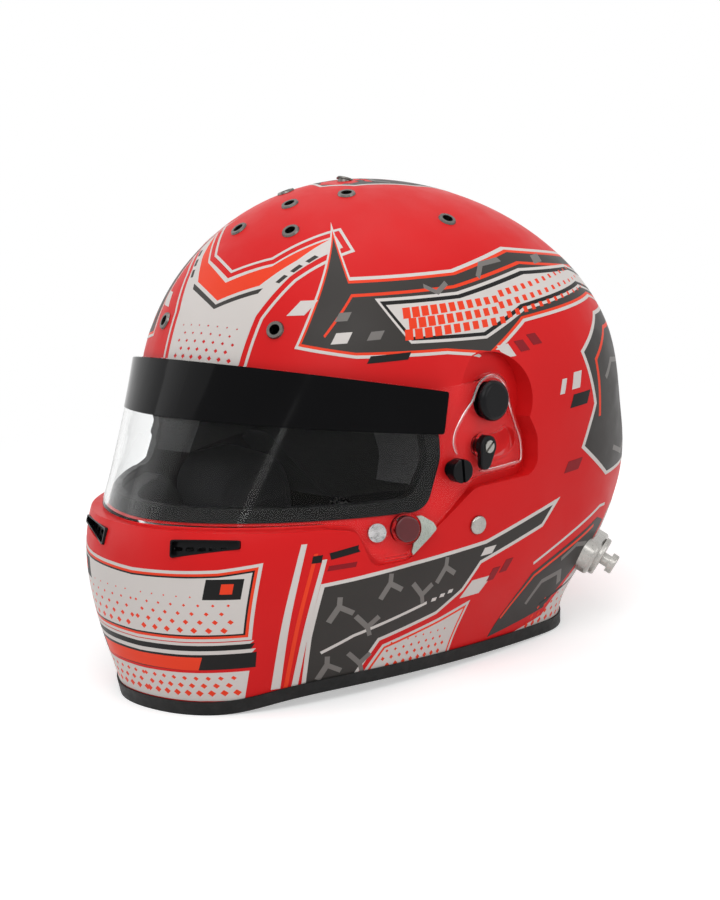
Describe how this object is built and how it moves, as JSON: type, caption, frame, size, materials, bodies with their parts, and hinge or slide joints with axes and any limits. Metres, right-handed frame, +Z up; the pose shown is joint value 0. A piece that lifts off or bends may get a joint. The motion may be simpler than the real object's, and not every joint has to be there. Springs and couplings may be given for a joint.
{
  "type": "auto racing helmet",
  "caption": "Full-face motor racing helmet with a tilting clear visor, press-button visor lock, chin strap with rings, vents and head restraint posts.",
  "frame": {"origin": "middle of the bounding box, on the ground under the lower rim", "axes": "+Z up, the face looks along -Y, the wearer's left is +X"},
  "size_m": [0.259, 0.3293, 0.2664],
  "materials": {
    "shell_paint": "satin paint on a composite shell",
    "seal_rubber": "matt black",
    "impact_foam": "beaded foam",
    "lining_fabric": "brushed knit",
    "eyelet_metal": "dark satin",
    "black_plastic": "satin black",
    "visor_clear": "clear hard-coated polycarbonate",
    "strip_film": "gloss film",
    "button_red": "dark translucent red",
    "lock_plate_metal": "brushed",
    "mirror_steel": "polished",
    "steel": "plated",
    "webbing": "woven polyester webbing",
    "anchor_metal": "satin"
  },
  "bodies": {
    "helmet": {"anchor_nut_left": "steel", "anchor_nut_right": "steel", "anchor_plate_left": "anchor_metal", "anchor_plate_right": "anchor_metal", "anchor_post_left": "anchor_metal", "anchor_post_right": "anchor_metal", "base_edge_trim": "seal_rubber", "cheek_pad_left": "lining_fabric", "cheek_pad_right": "lining_fabric", "chin_bar_liner": "impact_foam", "chin_strap_left": "webbing", "chin_strap_right": "webbing", "chin_vent_grille_left": "black_plastic", "chin_vent_grille_right": "black_plastic", "crown_comfort_lining": "lining_fabric", "crown_liner": "impact_foam", "eyeport_gasket": "seal_rubber", "guide_cam_left": "black_plastic", "guide_cam_right": "black_plastic", "guide_screw_left": "steel", "guide_screw_right": "steel", "nape_pad": "lining_fabric", "outer_shell": "shell_paint", "shell_magnet": "steel", "strap_anchor_left": "steel", "strap_anchor_right": "steel", "strap_rivet_left": "steel", "strap_rivet_right": "steel", "strap_snap": "steel", "vent_eyelets": "eyelet_metal", "visor_pivot_nut_left": "steel", "visor_pivot_nut_right": "steel", "visor_pivot_screw_left": "black_plastic", "visor_pivot_screw_right": "black_plastic", "visor_pivot_washer_left": "black_plastic", "visor_pivot_washer_right": "black_plastic"},
    "visor": {"visor_shield": "visor_clear", "sun_strip": "strip_film", "lock_plate": "lock_plate_metal", "visor_steel_disc": "mirror_steel", "lock_spring_washer": "steel"},
    "left_tear_off_post": {"tear_off_post_left": "black_plastic"},
    "right_tear_off_post": {"tear_off_post_right": "black_plastic"},
    "visor_lock_button": {"lock_button": "button_red"},
    "lower_d_ring": {"d_ring_lower": "steel"},
    "upper_d_ring": {"d_ring_upper": "steel"}
  },
  "joints": [
    {"name": "visor_hinge", "type": "hinge", "parent": "helmet", "child": "visor", "pos_m": [0, -0.0065, 0.15], "axis": [-1, 0, 0], "range_deg": [0, 40]},
    {"name": "left_tear_off_post_turn", "type": "hinge", "parent": "visor", "child": "left_tear_off_post", "pos_m": [0.11998, -0.03596, 0.118], "axis": [0.9852, -0.1709, 0.0113], "continuous": true},
    {"name": "right_tear_off_post_turn", "type": "hinge", "parent": "visor", "child": "right_tear_off_post", "pos_m": [-0.11998, -0.03596, 0.118], "axis": [-0.9852, -0.1709, 0.0113], "continuous": true},
    {"name": "lock_button_press", "type": "slide", "parent": "visor", "child": "visor_lock_button", "axis": [-0.9344, 0.3496, -0.0686], "range_m": [0, 0.001], "stiffness_N_per_m": 600, "springref_m": -0.001, "deforming": ["lock_spring_washer"]},
    {"name": "lower_ring_swing", "type": "hinge", "parent": "helmet", "child": "lower_d_ring", "pos_m": [0.06056, -0.01383, 0.0062], "axis": [-0.1366, -0.9906, 0], "range_deg": [0, 60]},
    {"name": "upper_ring_swing", "type": "hinge", "parent": "helmet", "child": "upper_d_ring", "pos_m": [0.06056, -0.01383, 0.0106], "axis": [0.1366, 0.9906, 0], "range_deg": [0, 60]}
  ]
}
